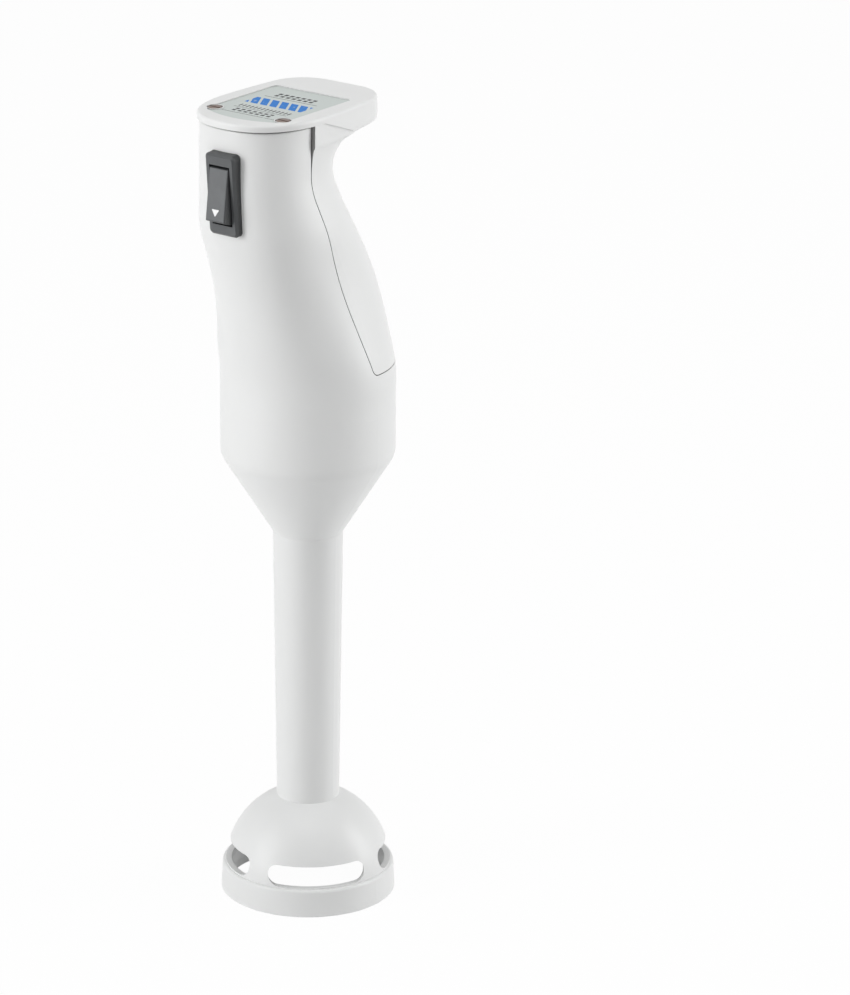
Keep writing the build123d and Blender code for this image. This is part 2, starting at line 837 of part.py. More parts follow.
# Three blade terminals through the floor of the switch, the middle one carrying the lever
terminal_top = switch_floor + switch_wall
with BuildPart() as switch_terminals:
    with BuildSketch(switch_plane.offset(terminal_top)):
        with GridLocations(0, terminal_pitch, 1, 3):
            Rectangle(terminal_width, terminal_thickness)
    extrude(amount=-switch_wall - terminal_length)
    with BuildSketch(switch_plane.offset(terminal_top)):
        Rectangle(contact_width, terminal_thickness)
    extrude(amount=lever_height - free_gap - terminal_top)
    with BuildSketch(lever_side):
        with Locations((0, lever_height)):
            Circle(contact_pivot_radius + running_gap)
    extrude(amount=contact_width, mode=Mode.SUBTRACT)
switch_terminals.part.label = "switch_terminals"
export_step(switch_terminals.part, "parts/switch_terminals.step")

# Shaft tube between the housing's collar and the guard
spigot_inner = bush_pocket_radius
tube_bore_foot = tube_foot_radius - tube_wall
tube_bore_top = tube_top_radius - tube_wall
pocket_foot = spigot_top - bush_pocket_depth
with BuildPart() as shaft_tube:
    revolve(
        lathe_profile(
            (tube_bore_foot, tube_foot),
            (tube_foot_radius, tube_foot),
            (tube_top_radius, cone_foot),
            (spigot_radius, cone_foot),
            (spigot_radius, spigot_top),
            (spigot_inner, spigot_top),
            (spigot_inner, pocket_foot),
            (bush_shoulder_radius, pocket_foot),
            (bush_shoulder_radius, pocket_foot - bush_shoulder),
            (spigot_inner, pocket_foot - 2 * bush_shoulder),
            (tube_bore_top, cone_foot - 2 * tube_wall),
        ),
        axis=Axis.Z,
    )
shaft_tube.part.label = "shaft_tube"
export_step(shaft_tube.part, "parts/shaft_tube.step")

# Ring nut that holds the tube in the collar
with BuildPart() as tube_nut:
    with BuildSketch(Plane.XY.offset(collar_top)):
        RegularPolygon(tube_nut_radius, 8)
        Circle(spigot_radius + seat_gap, mode=Mode.SUBTRACT)
    extrude(amount=tube_nut_height)
tube_nut.part.label = "tube_nut"
export_step(tube_nut.part, "parts/tube_nut.step")

with BuildPart() as upper_bush:
    revolve(
        ring_profile(
            shaft_radius + running_gap,
            bush_pocket_radius - seat_gap,
            pocket_foot,
            pocket_foot + upper_bush_length,
        ),
        axis=Axis.Z,
    )
upper_bush.part.label = "upper_bush"
export_step(upper_bush.part, "parts/upper_bush.step")

# Blade guard: rim band, windowed dome and the hub that carries the lower bush
dome_inner = dome_radius - guard_wall
mouth_radius = guard_radius - mouth_wall
spigot_end = tube_foot + guard_spigot_length
bush_seat = spigot_end - lower_bush_length
seal_seat = bush_seat - seal_step


def dome_height(radius, ball):
    """Height of the dome's ball at a radius."""
    return dome_centre + sqrt(ball**2 - radius**2)


band_dome_radius = sqrt(dome_radius**2 - (guard_band_height - dome_centre) ** 2)
dome_shoulder = dome_radius / sqrt(2)
inner_shoulder = dome_inner / sqrt(2)
with BuildPart() as blade_guard:
    with BuildSketch(Plane.XZ) as guard_outline:
        with BuildLine():
            Polyline(
                (mouth_radius, mouth_land),
                (mouth_radius, 0),
                (guard_radius, 0),
                (guard_band_top_radius, guard_band_height),
                (band_dome_radius, guard_band_height),
            )
            ThreePointArc(
                (band_dome_radius, guard_band_height),
                (dome_shoulder, dome_height(dome_shoulder, dome_radius)),
                (tube_foot_radius, tube_foot),
            )
            Polyline(
                (tube_foot_radius, tube_foot),
                (guard_spigot_radius, tube_foot),
                (guard_spigot_radius, spigot_end),
                (lower_bush_radius, spigot_end),
                (lower_bush_radius, bush_seat),
                (seal_step_radius, bush_seat),
                (seal_step_radius, seal_seat),
                (seal_radius, seal_seat),
                (seal_radius, hub_foot),
                (hub_radius, hub_foot),
                (hub_radius, dome_height(hub_radius, dome_inner)),
            )
            ThreePointArc(
                (hub_radius, dome_height(hub_radius, dome_inner)),
                (inner_shoulder, dome_height(inner_shoulder, dome_inner)),
                (dome_inner, dome_centre),
            )
            Line((dome_inner, dome_centre), (mouth_radius, mouth_land))
        make_face()
        band_corner = (guard_band_top_radius, guard_band_height)
        fillet(guard_outline.vertices().sort_by_distance(band_corner)[0], guard_band_edge)
    revolve(axis=Axis.Z)
    for turn in (45, 135, 225, 315):
        outward = (cos(radians(turn)), sin(radians(turn)), 0)
        window_plane = Plane(
            origin=(0, 0, (window_low + window_high) / 2),
            x_dir=(-outward[1], outward[0], 0),
            z_dir=outward,
        )
        with BuildSketch(window_plane):
            RectangleRounded(window_width, window_high - window_low, window_corner)
        extrude(amount=guard_radius, mode=Mode.SUBTRACT)
blade_guard.part.label = "blade_guard"
export_step(blade_guard.part, "parts/blade_guard.step")

with BuildPart() as lower_bush:
    revolve(
        ring_profile(shaft_radius + running_gap, lower_bush_radius - seat_gap, bush_seat, spigot_end),
        axis=Axis.Z,
    )
lower_bush.part.label = "lower_bush"
export_step(lower_bush.part, "parts/lower_bush.step")

with BuildPart() as shaft_seal:
    revolve(
        ring_profile(
            shaft_radius + running_gap,
            seal_radius - seat_gap,
            seal_seat - seal_length,
            seal_seat,
        ),
        axis=Axis.Z,
    )
shaft_seal.part.label = "shaft_seal"
export_step(shaft_seal.part, "parts/shaft_seal.step")

# Drive shaft with its cross pin, coupled to the motor's rotor
with BuildPart() as drive_shaft:
    revolve(ring_profile(0, shaft_radius, drive_shaft_foot, drive_shaft_top), axis=Axis.Z)
    with BuildSketch(Plane.XZ.offset(-shaft_radius)):
        with Locations((0, drive_pin_height)):
            Circle(drive_pin_radius + seat_gap)
    extrude(amount=2 * shaft_radius, mode=Mode.SUBTRACT)
    chamfer(drive_shaft.edges().group_by(Axis.Z)[0], shaft_radius / 5)
drive_shaft.part.label = "drive_shaft"
export_step(drive_shaft.part, "parts/drive_shaft.step")

with BuildPart() as drive_pin:
    with BuildSketch(Plane.XZ.offset(-drive_pin_length / 2)):
        with Locations((0, drive_pin_height)):
            Circle(drive_pin_radius)
    extrude(amount=drive_pin_length)
drive_pin.part.label = "drive_pin"
export_step(drive_pin.part, "parts/drive_pin.step")

# Push-on blade hub, slotted for the cross pin, and its S-shaped blade
hub_floor = blade_hub_foot + blade_hub_floor
blade_seat = blade_hub_foot + blade_seat_height
pin_slot_length = 2 * (blade_hub_top - drive_pin_height)
pin_slot_width = 2 * (drive_pin_radius + free_gap)
with BuildPart() as blade_hub:
    revolve(
        lathe_profile(
            (0, blade_hub_foot),
            (blade_hub_radius - blade_hub_floor / 2, blade_hub_foot),
            (blade_hub_radius, hub_floor),
            (blade_flange_radius, blade_seat - blade_flange_thickness),
            (blade_flange_radius, blade_seat),
            (blade_hub_radius, blade_seat),
            (blade_hub_radius, blade_hub_top),
            (shaft_radius + running_gap, blade_hub_top),
            (shaft_radius + running_gap, hub_floor),
            (0, hub_floor),
        ),
        axis=Axis.Z,
    )
    with BuildSketch(Plane.XZ.offset(-blade_hub_radius)):
        with Locations((0, drive_pin_height)):
            SlotCenterToCenter(pin_slot_length, pin_slot_width, rotation=90)
    extrude(amount=2 * blade_hub_radius, mode=Mode.SUBTRACT)
blade_hub.part.label = "blade_hub"
export_step(blade_hub.part, "parts/blade_hub.step")

blade_reach = blade_span / 2


def blade_wing(turn):
    """Outline of one swept wing, from the hub's middle to its pointed tip."""
    root = blade_root / 2
    with BuildSketch() as wing:
        with BuildLine():
            tip = (blade_reach, -blade_sweep)
            ThreePointArc((0, root), (blade_reach / 2, root), tip)
            ThreePointArc(tip, (blade_reach / 2, -blade_sweep / 4), (root / 2, -root))
            Polyline((root / 2, -root), (0, -root), (0, root))
        make_face()
    return wing.sketch.rotate(Axis.Z, turn)


with BuildPart() as blade:
    with BuildSketch(Plane.XY.offset(blade_seat)):
        add(blade_wing(blade_turn))
        add(blade_wing(blade_turn + 180))
        Circle(blade_flange_radius)
        Circle(blade_hub_radius + seat_gap, mode=Mode.SUBTRACT)
    extrude(amount=blade_thickness)
blade.part.label = "blade"
export_step(blade.part, "parts/blade.step")

# Rubber ring under the motor, on the housing's ledge
ring_outer = barrel_inner - seat_gap
with BuildPart() as motor_mount_ring:
    revolve(ring_profile(ring_outer - mount_ring_width, ring_outer, motor_seat, ring_top), axis=Axis.Z)
motor_mount_ring.part.label = "motor_mount_ring"
export_step(motor_mount_ring.part, "parts/motor_mount_ring.step")

# Lower bracket: bearing cup, flange on the rubber ring and skirt that centres the stator
cup_radius = bearing_radius + bearing_cup_wall
skirt_inner = bracket_skirt_radius - bracket_skirt_wall
skirt_lip = stator_foot + stator_length / 3
screw_spots = [(-motor_screw_spacing / 2, 0), (motor_screw_spacing / 2, 0)]
screw_post_radius = motor_screw_radius + motor_screw_post_wall
with BuildPart() as lower_bracket:
    shaft_hole = shaft_radius + free_gap
    revolve(ring_profile(shaft_hole, ring_outer - free_gap, ring_top, bracket_top), axis=Axis.Z)
    revolve(ring_profile(shaft_hole, cup_radius, ring_top, lower_bearing_top), axis=Axis.Z)
    revolve(ring_profile(skirt_inner, bracket_skirt_radius, bracket_top, stator_foot), axis=Axis.Z)
    revolve(
        ring_profile(stator_radius + seat_gap, bracket_skirt_radius, stator_foot, skirt_lip), axis=Axis.Z
    )
    with BuildSketch(Plane.XY.offset(bracket_top)):
        with Locations(*screw_spots):
            Circle(screw_post_radius)
    extrude(amount=stator_foot - bracket_top)
    revolve(
        ring_profile(0, bearing_radius + seat_gap, lower_bearing_foot, lower_bearing_top),
        axis=Axis.Z,
        mode=Mode.SUBTRACT,
    )
    with BuildSketch(Plane.XY.offset(stator_foot)):
        with Locations(*screw_spots):
            Circle(motor_screw_radius + seat_gap)
    extrude(amount=-motor_screw_grip - seat_gap, mode=Mode.SUBTRACT)
    with BuildSketch(Plane.XY.offset(ring_top)):
        with PolarLocations((cup_radius + skirt_inner) / 2, 4, 45):
            Circle((skirt_inner - cup_radius) / 3)
    extrude(amount=bracket_thickness, mode=Mode.SUBTRACT)
lower_bracket.part.label = "lower_bracket"
export_step(lower_bracket.part, "parts/lower_bracket.step")

with BuildPart() as lower_bearing:
    revolve(
        ring_profile(shaft_radius + running_gap, bearing_radius, lower_bearing_foot, lower_bearing_top),
        axis=Axis.Z,
    )
lower_bearing.part.label = "lower_bearing"
export_step(lower_bearing.part, "parts/lower_bearing.step")

# Stator stack with two pole windows for the field coils
coil_inner = stator_bore + seat_gap
coil_outer = stator_radius - bracket_skirt_wall - seat_gap
coil_middle = (coil_inner + coil_outer) / 2
with BuildPart() as stator_stack:
    revolve(ring_profile(stator_bore, stator_radius, stator_foot, stator_top), axis=Axis.Z)
    with BuildSketch(Plane.XY.offset(stator_foot)):
        with Locations(*screw_spots):
            Circle(motor_screw_radius + seat_gap)
        with PolarLocations(coil_middle, 4, 45):
            Rectangle(coil_outer - coil_inner, pole_slot_width)
    extrude(amount=stator_length, mode=Mode.SUBTRACT)
stator_stack.part.label = "stator_stack"
export_step(stator_stack.part, "parts/stator_stack.step")

# Two field coils: straight sides in the stack's windows, joined by arched ends
coil_width = coil_outer - coil_inner - 2 * seat_gap
coil_low = coil_middle - coil_width / 2
coil_high = coil_middle + coil_width / 2
coil_side = pole_slot_width - 2 * seat_gap


def coil_end(low, pole):
    """Arched end of a field coil, centred on its pole."""
    with BuildPart() as arch:
        revolve(
            ring_profile(coil_low, coil_high, low, low + coil_rise),
            axis=Axis.Z,
            revolution_arc=2 * coil_half_angle,
        )
    return arch.part.rotate(Axis.Z, pole - coil_half_angle)


with BuildPart() as field_coils:
    for pole in (90, 270):
        with BuildSketch(Plane.XY.offset(stator_foot)):
            for turn in (pole - 45, pole + 45):
                with Locations(Location((0, 0, 0), (0, 0, turn))):
                    with Locations((coil_middle, 0)):
                        Rectangle(coil_width, coil_side)
        extrude(amount=stator_length)
        for low in (coil_foot, stator_top):
            add(coil_end(low, pole))
field_coils.part.label = "field_coils"
export_step(field_coils.part, "parts/field_coils.step")

# Armature: slotted core, end windings, commutator, fan and shaft
core_radius = stator_bore - air_gap
rotor_foot = drive_shaft_top + coupling_gap
fit_radius = shaft_radius + seat_gap
with BuildPart() as rotor_shaft:
    revolve(ring_profile(0, shaft_radius, rotor_foot, bridge_top + running_gap), axis=Axis.Z)
rotor_shaft.part.label = "rotor_shaft"
export_step(rotor_shaft.part, "parts/rotor_shaft.step")

with BuildPart() as armature_core:
    revolve(ring_profile(fit_radius, core_radius, stator_foot, stator_top), axis=Axis.Z)
    with BuildSketch(Plane.XY.offset(stator_foot)):
        with PolarLocations(core_radius - armature_slot_depth / 2, armature_slot_count):
            Rectangle(armature_slot_depth + armature_slot_width, armature_slot_width)
    extrude(amount=stator_length, mode=Mode.SUBTRACT)
armature_core.part.label = "armature_core"
export_step(armature_core.part, "parts/armature_core.step")

winding_low = stator_foot - armature_winding_rise
winding_high = stator_top + armature_winding_rise
with BuildPart() as armature_winding:
    revolve(ring_profile(fit_radius, armature_winding_radius, winding_low, stator_foot), axis=Axis.Z)
    revolve(ring_profile(fit_radius, armature_winding_radius, stator_top, winding_high), axis=Axis.Z)
    outer_rims = armature_winding.edges().filter_by(GeomType.CIRCLE).group_by(SortBy.RADIUS)[-1]
    fillet(outer_rims.sort_by(Axis.Z)[0], armature_winding_rise / 2)
    fillet(outer_rims.sort_by(Axis.Z)[-1], armature_winding_rise / 2)
armature_winding.part.label = "armature_winding"
export_step(armature_winding.part, "parts/armature_winding.step")

with BuildPart() as commutator:
    revolve(ring_profile(fit_radius, commutator_radius, commutator_foot, commutator_top), axis=Axis.Z)
    with BuildSketch(Plane.XY.offset(commutator_foot)):
        with PolarLocations(commutator_radius, armature_slot_count):
            Rectangle(2 * commutator_groove, commutator_groove)
    extrude(amount=commutator_length, mode=Mode.SUBTRACT)
commutator.part.label = "commutator"
export_step(commutator.part, "parts/commutator.step")

fan_radius = motor_screw_spacing / 2 - screw_post_radius - fan_tip_gap
fan_hub_radius = 2 * shaft_radius
fan_blade_start = fan_hub_radius - fan_blade_thickness
fan_blade_end = fan_radius - fan_blade_thickness
with BuildPart() as cooling_fan:
    revolve(ring_profile(fit_radius, fan_radius, fan_foot, fan_foot + fan_disc), axis=Axis.Z)
    revolve(ring_profile(fit_radius, fan_hub_radius, fan_foot, fan_top), axis=Axis.Z)
    with BuildSketch(Plane.XY.offset(fan_foot + fan_disc)):
        with PolarLocations((fan_blade_start + fan_blade_end) / 2, fan_blade_count):
            Rectangle(fan_blade_end - fan_blade_start, fan_blade_thickness)
    extrude(amount=fan_height - fan_disc)
cooling_fan.part.label = "cooling_fan"
export_step(cooling_fan.part, "parts/cooling_fan.step")

coupling_foot = spigot_top + coupling_end_gap
coupling_top = ring_top - coupling_end_gap
with BuildPart() as shaft_coupling:
    revolve(ring_profile(fit_radius, coupling_radius, coupling_foot, coupling_top), axis=Axis.Z)
    outer_rims = shaft_coupling.edges().filter_by(GeomType.CIRCLE).group_by(SortBy.RADIUS)[-1]
    chamfer(outer_rims, coupling_radius / 6)
shaft_coupling.part.label = "shaft_coupling"
export_step(shaft_coupling.part, "parts/shaft_coupling.step")

# Upper bracket: a bridge over the commutator on two legs, with the upper bearing
with BuildPart() as upper_bracket:
    with BuildSketch(Plane.XY.offset(stator_top)):
        with Locations(*screw_spots):
            Rectangle(bridge_leg, bridge_leg)
    extrude(amount=bridge_rise)
    with BuildSketch(Plane.XY.offset(bridge_foot)):
        SlotOverall(motor_screw_spacing + bridge_leg, bridge_width)
        Circle(cup_radius)
        Circle(bearing_radius + seat_gap, mode=Mode.SUBTRACT)
    extrude(amount=bearing_height)
    with BuildSketch(Plane.XY.offset(stator_top)):
        with Locations(*screw_spots):
            Circle(motor_screw_radius + seat_gap)
    extrude(amount=bridge_top - stator_top, mode=Mode.SUBTRACT)
upper_bracket.part.label = "upper_bracket"
export_step(upper_bracket.part, "parts/upper_bracket.step")

with BuildPart() as upper_bearing:
    revolve(
        ring_profile(shaft_radius + running_gap, bearing_radius, bridge_foot, bridge_top), axis=Axis.Z
    )
upper_bearing.part.label = "upper_bearing"
export_step(upper_bearing.part, "parts/upper_bearing.step")

with BuildPart() as motor_screws:
    with BuildSketch(Plane.XY.offset(bridge_top)):
        with Locations(*screw_spots):
            Circle(motor_screw_head_radius)
    extrude(amount=motor_screw_head_height)
    with BuildSketch(Plane.XY.offset(bridge_top)):
        with Locations(*screw_spots):
            Circle(motor_screw_radius)
    extrude(amount=stator_foot - motor_screw_grip - bridge_top)
motor_screws.part.label = "motor_screws"
export_step(motor_screws.part, "parts/motor_screws.step")

# Brush gear: two holders under the bridge, each with a carbon brush and its spring
brush_height = (commutator_foot + commutator_top) / 2
brush_foot = brush_height - brush_size / 2
brush_top = brush_height + brush_size / 2
brush_start = commutator_radius + running_gap
holder_start = brush_start + brush_holder_wall
holder_size = brush_size + 2 * brush_holder_wall
brush_ways = (-1, 1)


def brush_box(start, length, width, low, high, mode=Mode.ADD):
    """Two like boxes along Y, one on each side of the commutator."""
    for way in brush_ways:
        with Locations((0, way * (start + length / 2), (low + high) / 2)):
            Box(width, length, high - low, mode=mode)


with BuildPart() as brush_holders:
    brush_box(holder_start, brush_holder_length, holder_size, brush_height - holder_size / 2, bridge_foot)
    brush_box(
        holder_start,
        brush_holder_length - brush_holder_wall,
        brush_size + 2 * seat_gap,
        brush_foot - seat_gap,
        brush_top + seat_gap,
        Mode.SUBTRACT,
    )
brush_holders.part.label = "brush_holders"
export_step(brush_holders.part, "parts/brush_holders.step")

with BuildPart() as carbon_brushes:
    brush_box(brush_start, brush_length, brush_size, brush_foot, brush_top)
carbon_brushes.part.label = "carbon_brushes"
export_step(carbon_brushes.part, "parts/carbon_brushes.step")

spring_start = brush_start + brush_length
spring_end = holder_start + brush_holder_length - brush_holder_wall
with BuildPart() as brush_springs:
    for way in brush_ways:
        with BuildSketch(Plane(origin=(0, way * spring_start, brush_height), z_dir=(0, way, 0))):
            Circle(brush_spring_radius)
            Circle(brush_spring_radius / 2, mode=Mode.SUBTRACT)
        extrude(amount=spring_end - spring_start)
brush_springs.part.label = "brush_springs"
export_step(brush_springs.part, "parts/brush_springs.step")

# Suppressor capacitor on the bridge
capacitor_room = motor_screw_spacing / 2 - motor_screw_head_radius - bearing_radius
capacitor_x = bearing_radius + capacitor_room / 2
with BuildPart() as suppressor_capacitor:
    with Locations((-capacitor_x, -capacitor_width / 2, bridge_top + capacitor_height / 2)):
        Box(capacitor_room - 2 * free_gap, capacitor_width, capacitor_height)
    fillet(suppressor_capacitor.edges().filter_by(Axis.Z), wire_radius)
suppressor_capacitor.part.label = "suppressor_capacitor"
export_step(suppressor_capacitor.part, "parts/suppressor_capacitor.step")

# Insulated leads: switch to brush gear and switch to capacitor
terminal_end = switch_floor - terminal_length
capacitor_top = bridge_top + capacitor_height
holder_lead_y = -(holder_start + brush_holder_length - 2 * wire_radius)
capacitor_lead_y = -capacitor_width / 2


def lead_path(start, turn_y, *rest):
    """Points of a lead that leaves a terminal straight, turns at a depth and goes on through the rest."""
    turn = start - switch_out * ((turn_y - start.Y) / -switch_out.Y)
    return [start, turn, *rest]


brush_lead_start = switch_spot(-terminal_pitch, terminal_end)
capacitor_lead_start = switch_spot(0, terminal_end)
lead_routes = [
    lead_path(brush_lead_start, holder_lead_y, (0, holder_lead_y, bridge_foot)),
    lead_path(
        capacitor_lead_start,
        holder_lead_y + 2 * wire_bend,
        (-capacitor_x, capacitor_lead_y, capacitor_top + 4 * wire_bend),
        (-capacitor_x, capacitor_lead_y, capacitor_top),
    ),
]
with BuildPart() as lead_wires:
    for route in lead_routes:
        with BuildLine() as lead:
            FilletPolyline(*route, radius=wire_bend)
        with BuildSketch(Plane(origin=lead.line @ 0, z_dir=lead.line % 0)):
            Circle(wire_radius)
        sweep(path=lead.line)
lead_wires.part.label = "lead_wires"
export_step(lead_wires.part, "parts/lead_wires.step")
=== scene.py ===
import json
import math

import bmesh
import bpy
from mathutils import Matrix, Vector


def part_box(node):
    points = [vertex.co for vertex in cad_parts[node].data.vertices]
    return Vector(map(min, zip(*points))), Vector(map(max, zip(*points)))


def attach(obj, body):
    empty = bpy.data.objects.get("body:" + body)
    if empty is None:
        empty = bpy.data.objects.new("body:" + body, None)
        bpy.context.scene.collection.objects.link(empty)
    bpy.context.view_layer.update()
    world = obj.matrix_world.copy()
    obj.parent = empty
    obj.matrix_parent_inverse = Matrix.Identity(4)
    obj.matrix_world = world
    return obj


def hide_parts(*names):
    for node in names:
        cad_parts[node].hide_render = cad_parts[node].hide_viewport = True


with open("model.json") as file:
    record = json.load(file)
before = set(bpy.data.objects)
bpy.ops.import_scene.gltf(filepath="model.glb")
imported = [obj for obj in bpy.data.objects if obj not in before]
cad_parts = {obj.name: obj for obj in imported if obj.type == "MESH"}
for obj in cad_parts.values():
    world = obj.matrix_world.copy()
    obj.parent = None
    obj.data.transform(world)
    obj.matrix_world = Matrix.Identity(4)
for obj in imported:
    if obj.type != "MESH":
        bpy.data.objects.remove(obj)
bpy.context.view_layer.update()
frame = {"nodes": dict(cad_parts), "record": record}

nodes = frame["nodes"]
slotOf = {piece["node"]: piece["material_slot"] for piece in frame["record"]["subparts"]}
scene = bpy.context.scene
mm = 0.001
print("frame loaded:", len(nodes), "nodes")


# one node in any tree: its settings first, then the values or links of its sockets
def addNode(tree, kind, settings=None, values=None):
    made = tree.nodes.new(kind)
    for key, value in (settings or {}).items():
        setattr(made, key, value)
    for key, value in (values or {}).items():
        if isinstance(value, bpy.types.NodeSocket):
            tree.links.new(value, made.inputs[key])
        else:
            made.inputs[key].default_value = value
    return made


# shader maths as plain Python
class Wire:
    def __init__(self, finish, out):
        self.finish = finish
        self.out = out

    def math(self, operation, first, second=0.0):
        return self.finish.node("Math", {"operation": operation}, {0: first, 1: second})

    def __add__(self, other):
        return self.math("ADD", self, other)

    def __radd__(self, other):
        return self.math("ADD", other, self)

    def __sub__(self, other):
        return self.math("SUBTRACT", self, other)

    def __rsub__(self, other):
        return self.math("SUBTRACT", other, self)

    def __mul__(self, other):
        return self.math("MULTIPLY", self, other)

    def __rmul__(self, other):
        return self.math("MULTIPLY", other, self)

    def __truediv__(self, other):
        return self.math("DIVIDE", self, other)

    def __rtruediv__(self, other):
        return self.math("DIVIDE", other, self)

    def __lt__(self, other):
        return self.math("LESS_THAN", self, other)

    def __gt__(self, other):
        return self.math("GREATER_THAN", self, other)

    def __abs__(self):
        return self.math("ABSOLUTE", self)


class Finish:
    def __init__(self, name, **constants):
        self.material = bpy.data.materials.new(name)
        self.material.use_nodes = True
        self.tree = self.material.node_tree
        self.shader = self.tree.nodes["Principled BSDF"]
        for key, value in constants.items():
            self.shader.inputs[key.replace("_", " ")].default_value = value
        self.place = self.node("TexCoord", out="Object")

    def node(self, kind, settings=None, values=None, out=0):
        sockets = {key: value.out if isinstance(value, Wire) else value
                   for key, value in (values or {}).items()}
        return Wire(self, addNode(self.tree, "ShaderNode" + kind, settings, sockets).outputs[out])

    def feed(self, socket, wire):
        self.tree.links.new(wire.out, self.shader.inputs[socket])

    # where a point of the piece is along one axis
    def along(self, axis):
        return self.node("SeparateXYZ", values={0: self.place}, out=axis)

    # how far the surface faces along one axis, from -1 to 1
    def facing(self, axis):
        return self.node("SeparateXYZ", values={0: self.node("TexCoord", out="Normal")}, out=axis)

    def noise(self, scale, detail, stretch=None):
        spot = self.place
        if stretch:
            spot = self.node("Mapping", values={"Vector": spot, "Scale": stretch})
        return self.node("TexNoise", values={"Vector": spot, "Scale": scale, "Detail": detail})

    # sockets 6 and 7 and output 2 are the colours of a Mix node
    def tint(self, share, low, high):
        return self.node("Mix", {"data_type": "RGBA"}, {0: share, 6: low, 7: high}, out=2)

    def bump(self, height, strength, depth):
        return self.node("Bump", values={"Height": height, "Strength": strength, "Distance": depth})

    # share that goes from 0 at the start to 1 at the end
    def rise(self, wire, start, end):
        return self.node("MapRange", values={"Value": wire, "From Min": start, "From Max": end})

    def within(self, wire, middle, half):
        return abs(wire - middle) < half

    def repeat(self, wire, pitch, share):
        return self.node("Math", {"operation": "FRACT"}, {0: wire / pitch + 0.5}) < share


# a level that a noise moves up and down
def wander(level, noise, swing):
    return level + (noise - 0.5) * swing


def rgba(red, green, blue):
    return (red, green, blue, 1.0)


def scaled(colour, share):
    return rgba(*(min(1.0, share * part) for part in colour[:3]))


# moulded white: faint flow marks, a fine spark grain, handling wear in the gloss, and painted shade in the
# seams and crevices, with more of it at the neck, where the shells part under the top plate, and a painted
# shade band on the seam's forward faces there
whiteLook = dict(
    light=rgba(0.806, 0.812, 0.808), shade=rgba(0.770, 0.777, 0.773),
    flow=dict(scale=14.0, detail=4.0, stretch=(1.0, 1.0, 0.35)), flowSpan=(0.35, 0.68),
    wear=dict(scale=60.0, detail=6.0), wearSpan=(0.42, 0.74), gloss=0.40, worn=0.48,
    grain=dict(scale=2600.0, detail=2.0), swing=0.05, bump=dict(strength=0.12, depth=0.02 * mm),
    # dust is the dark colour of the painted shade that ambient occlusion lays in seams, crevices and
    # corners
    dust=rgba(0.085, 0.083, 0.080), shadeReach=2.4 * mm, shadeRays=8, shadeFull=0.14, shadeFree=0.42,
    neckFoot=270 * mm, neckHead=285 * mm, neckShadeFree=0.62,
    seam=-26.0 * mm, seamHalf=0.3 * mm, seamFacing=-0.8, seamShade=0.72)


def whitePlastic():
    made = Finish("whitePlastic", IOR=1.5)
    flow = made.rise(made.noise(**whiteLook["flow"]), *whiteLook["flowSpan"])
    wear = made.rise(made.noise(**whiteLook["wear"]), *whiteLook["wearSpan"])
    grain = made.noise(**whiteLook["grain"])
    # painted shade: ambient occlusion darkens seams, crevices and corners towards the dust colour, more so
    # at the neck
    openAO = made.node("AmbientOcclusion", {"samples": whiteLook["shadeRays"]},
                     {"Distance": whiteLook["shadeReach"]}, out="AO")
    neck = made.rise(made.along("Z"), whiteLook["neckFoot"], whiteLook["neckHead"])
    forward = made.facing("Y") < whiteLook["seamFacing"]
    # painted shade: a dark band on the forward-facing faces at the seam under the top plate
    parting = made.within(made.along("Y"), whiteLook["seam"], whiteLook["seamHalf"]) * forward * neck
    shadeFree = whiteLook["shadeFree"] + neck * (whiteLook["neckShadeFree"] - whiteLook["shadeFree"])
    unshaded = made.rise(openAO, whiteLook["shadeFull"], shadeFree) * (1.0 - parting * whiteLook["seamShade"])
    moulded = made.tint(flow, whiteLook["light"], whiteLook["shade"])
    made.feed("Base Color", made.tint(unshaded, whiteLook["dust"], moulded))
    rough = whiteLook["gloss"] + wear * (whiteLook["worn"] - whiteLook["gloss"])
    made.feed("Roughness", wander(rough, grain, whiteLook["swing"]))
    made.feed("Normal", made.bump(grain, **whiteLook["bump"]))
    return made.material


# matt dark grey of the switch, with a fine etched grain, a little pale dust and painted shade on the sides,
# which are darker than the front faces
switchLook = dict(
    bezel=rgba(0.088, 0.093, 0.097), rocker=rgba(0.094, 0.100, 0.105), sides=0.42, frontSpan=(-0.55, -0.97),
    dust=dict(scale=140.0, detail=5.0), dustSpan=(0.48, 0.86), dusty=1.28, rough=0.46,
    grain=dict(scale=3200.0, detail=3.0), swing=0.25, bump=dict(strength=0.35, depth=0.04 * mm))


def switchPlastic(name, colour):
    made = Finish(name, IOR=1.48)
    dust = made.rise(made.noise(**switchLook["dust"]), *switchLook["dustSpan"])
    grain = made.noise(**switchLook["grain"])
    # painted shade: faces turned away from the front are darkened to the sides share of the colour
    front = made.rise(made.facing("Y"), *switchLook["frontSpan"])
    handled = made.tint(dust, colour, scaled(colour, switchLook["dusty"]))
    made.feed("Base Color", made.tint(front, scaled(colour, switchLook["sides"]), handled))
    made.feed("Roughness", wander(switchLook["rough"], grain, switchLook["swing"]))
    made.feed("Normal", made.bump(grain, **switchLook["bump"]))
    return made.material


# plain mouldings inside, the brushes and the wires' covering
plainLook = dict(
    tone=dict(scale=40.0, detail=4.0), dark=0.82, swing=0.2,
    grain=dict(scale=1800.0, detail=2.0), bump=dict(strength=0.2, depth=0.03 * mm))


def plainPlastic(name, colour, rough):
    made = Finish(name, IOR=1.47)
    tone = made.noise(**plainLook["tone"])
    grain = made.noise(**plainLook["grain"])
    made.feed("Base Color", made.tint(tone, colour, scaled(colour, plainLook["dark"])))
    made.feed("Roughness", wander(rough, tone, plainLook["swing"]))
    made.feed("Normal", made.bump(grain, **plainLook["bump"]))
    return made.material


